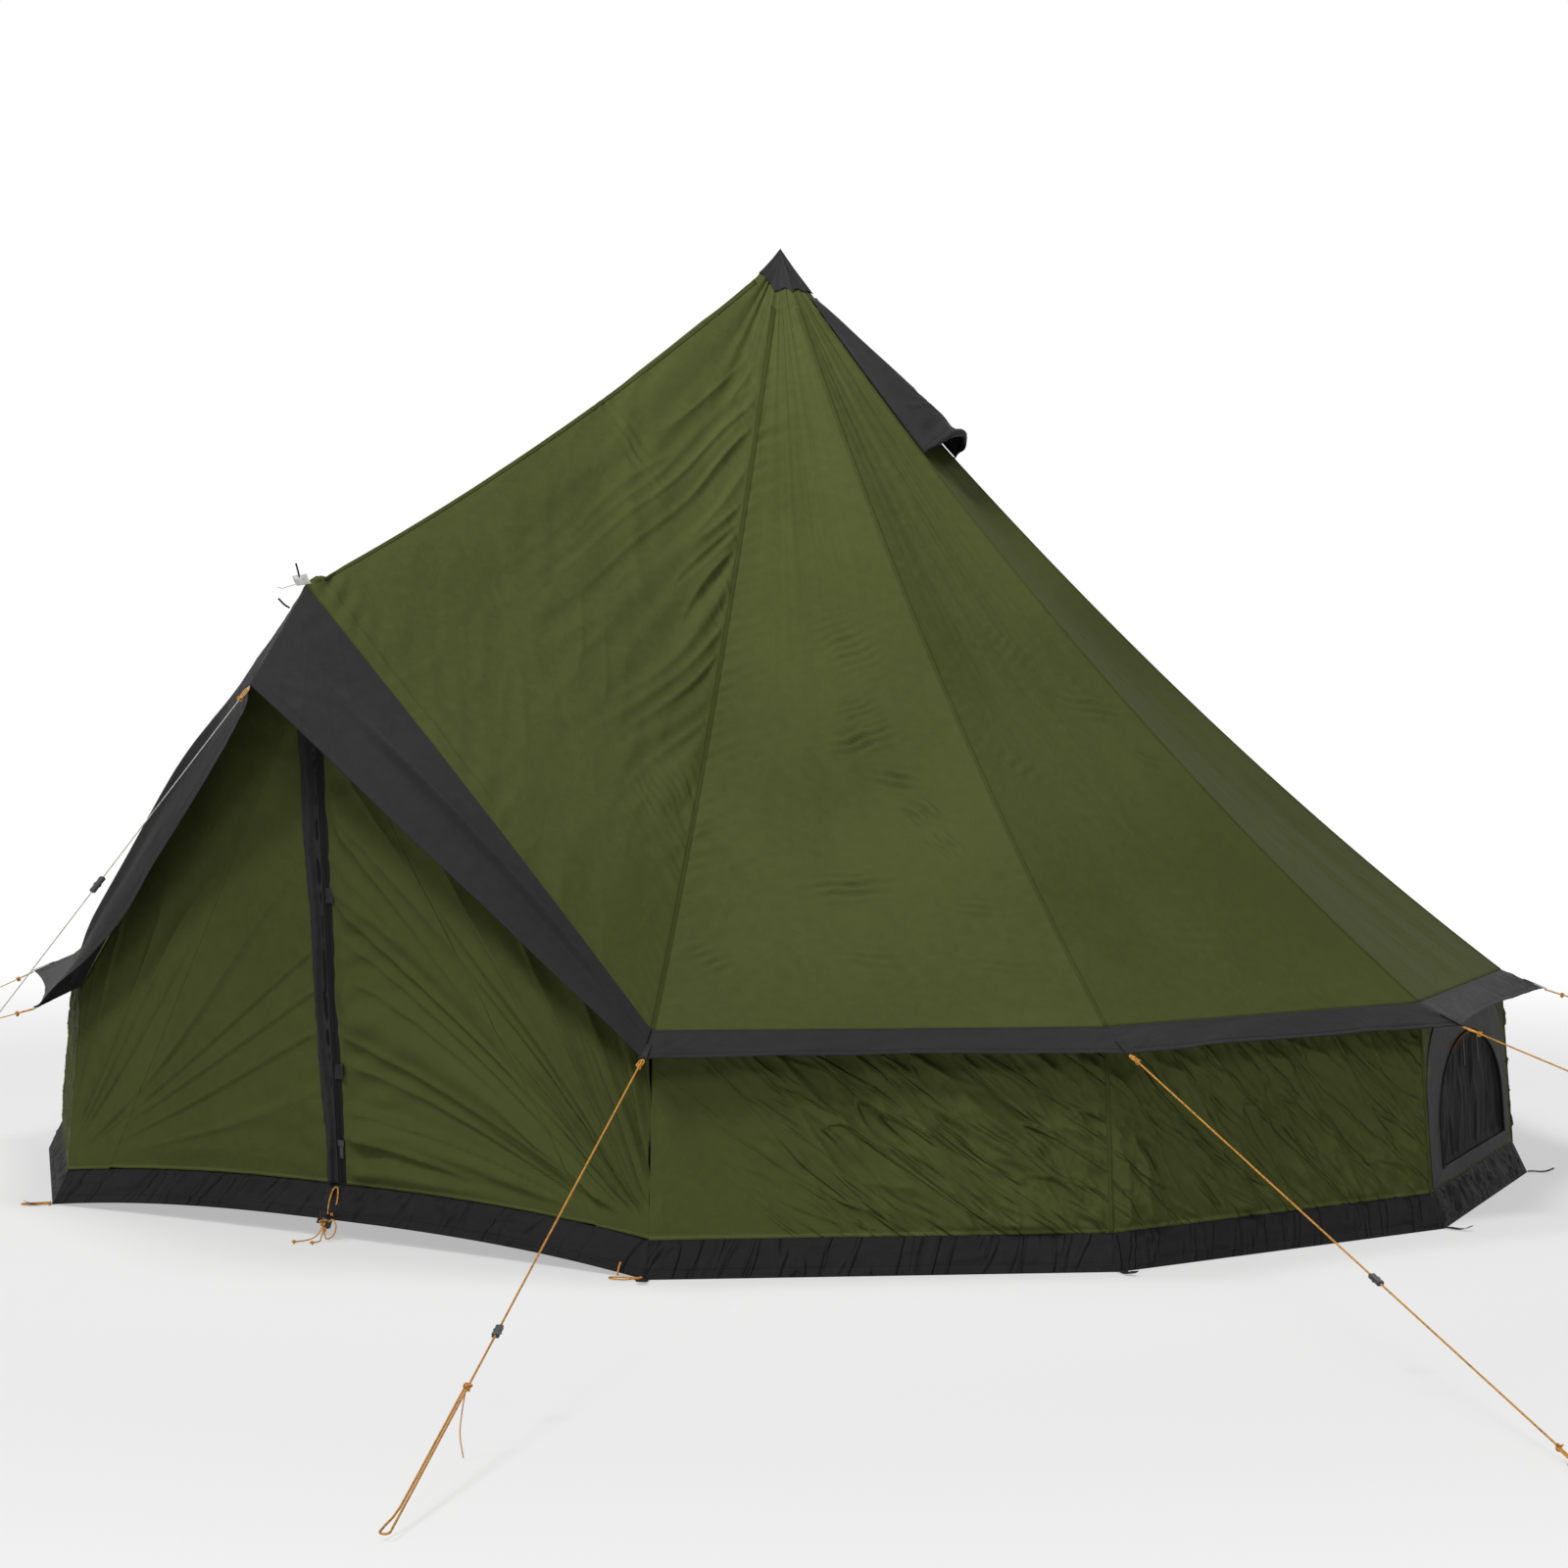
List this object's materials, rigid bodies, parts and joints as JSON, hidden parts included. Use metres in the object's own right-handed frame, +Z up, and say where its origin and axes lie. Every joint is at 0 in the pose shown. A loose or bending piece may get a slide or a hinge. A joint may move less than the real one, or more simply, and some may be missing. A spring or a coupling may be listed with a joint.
{
  "type": "tipi tent",
  "caption": "Bell-shaped tipi tent with a centre pole, low upright walls, A-shaped door with a visor, roof vent hood, tray floor and guy lines with sliding runners.",
  "frame": {"origin": "on the ground under the centre pole, at the underside of the tray floor", "axes": "+Z up, -Y out of the door, +X to the right of someone who faces the tent from behind its door side, that is to the right when looking along +Y"},
  "size_m": [5.5222, 6.1068, 2.5118],
  "materials": {
    "green_cloth": "coated polyester, plain weave",
    "dark_cloth": "black coated polyester and webbing",
    "window_net": "fine black netting",
    "pole_steel": "galvanised tube",
    "pole_fibre": "glass fibre rod",
    "guy_cord": "braided cord",
    "black_plastic": "moulded plastic"
  },
  "bodies": {
    "tent": {"apex_cap": "dark_cloth", "door_pole_elbow": "black_plastic", "door_pole_left": "pole_fibre", "door_pole_right": "pole_fibre", "door_side_left": "green_cloth", "door_side_right": "green_cloth", "edge_band_01": "dark_cloth", "edge_band_02": "dark_cloth", "edge_band_03": "dark_cloth", "edge_band_10": "dark_cloth", "groundsheet": "dark_cloth", "guy_line_a": "guy_cord", "guy_line_b": "guy_cord", "guy_line_c": "guy_cord", "guy_line_d": "guy_cord", "guy_line_front": "guy_cord", "guy_line_y": "guy_cord", "guy_line_z": "guy_cord", "peg_strap_a": "dark_cloth", "peg_strap_b": "dark_cloth", "peg_strap_c": "dark_cloth", "peg_strap_d": "dark_cloth", "peg_strap_z": "dark_cloth", "pole_foot": "black_plastic", "pole_lower": "pole_steel", "pole_upper": "pole_steel", "roof_panel_01": "green_cloth", "roof_panel_02": "green_cloth", "roof_panel_03": "green_cloth", "roof_panel_04": "green_cloth", "roof_panel_05": "green_cloth", "roof_panel_06": "green_cloth", "roof_panel_07": "green_cloth", "roof_panel_08": "green_cloth", "roof_panel_09": "green_cloth", "roof_panel_10": "green_cloth", "roof_panel_door_left": "green_cloth", "roof_panel_door_right": "green_cloth", "vent_hood": "dark_cloth", "visor_left": "dark_cloth", "visor_right": "dark_cloth", "wall_01": "green_cloth", "wall_02": "green_cloth", "wall_03": "green_cloth", "wall_04": "green_cloth", "wall_05": "green_cloth", "wall_06": "green_cloth", "wall_07": "green_cloth", "wall_08": "green_cloth", "wall_09": "green_cloth", "wall_10": "green_cloth", "window_mesh": "window_net", "window_surround": "dark_cloth"},
    "door_leaf_right": {"door_leaf_right": "green_cloth"},
    "door_leaf_left": {"door_leaf_left": "green_cloth", "storm_flap": "dark_cloth"},
    "zip_pull": {"zip_pull": "black_plastic"},
    "runner_a": {"runner_a": "black_plastic"},
    "runner_b": {"runner_b": "black_plastic"},
    "runner_front": {"runner_front": "black_plastic"}
  },
  "joints": [
    {"name": "door_leaf_right_fold", "type": "hinge", "parent": "tent", "child": "door_leaf_right", "pos_m": [0.78833, -1.78005, 0.082], "axis": [0.5238, 0.0664, -0.8492], "range_deg": [0, 100]},
    {"name": "door_leaf_left_fold", "type": "hinge", "parent": "tent", "child": "door_leaf_left", "pos_m": [-0.78833, -1.78005, 0.082], "axis": [0.5238, -0.0664, 0.8492], "range_deg": [0, 100]},
    {"name": "zip_slide", "type": "slide", "parent": "door_leaf_right", "child": "zip_pull", "axis": [0, -0.0782, 0.9969], "range_m": [-0.035, 1]},
    {"name": "runner_a_slide", "type": "slide", "parent": "tent", "child": "runner_a", "axis": [0.4662, -0.8628, -0.1958], "range_m": [-1.45, 0.22]},
    {"name": "runner_b_slide", "type": "slide", "parent": "tent", "child": "runner_b", "axis": [0.7652, -0.6032, -0.2249], "range_m": [-1.15, 0.55]},
    {"name": "runner_front_slide", "type": "slide", "parent": "tent", "child": "runner_front", "axis": [0, -0.7414, -0.6711], "range_m": [-0.55, 0.33]}
  ]
}
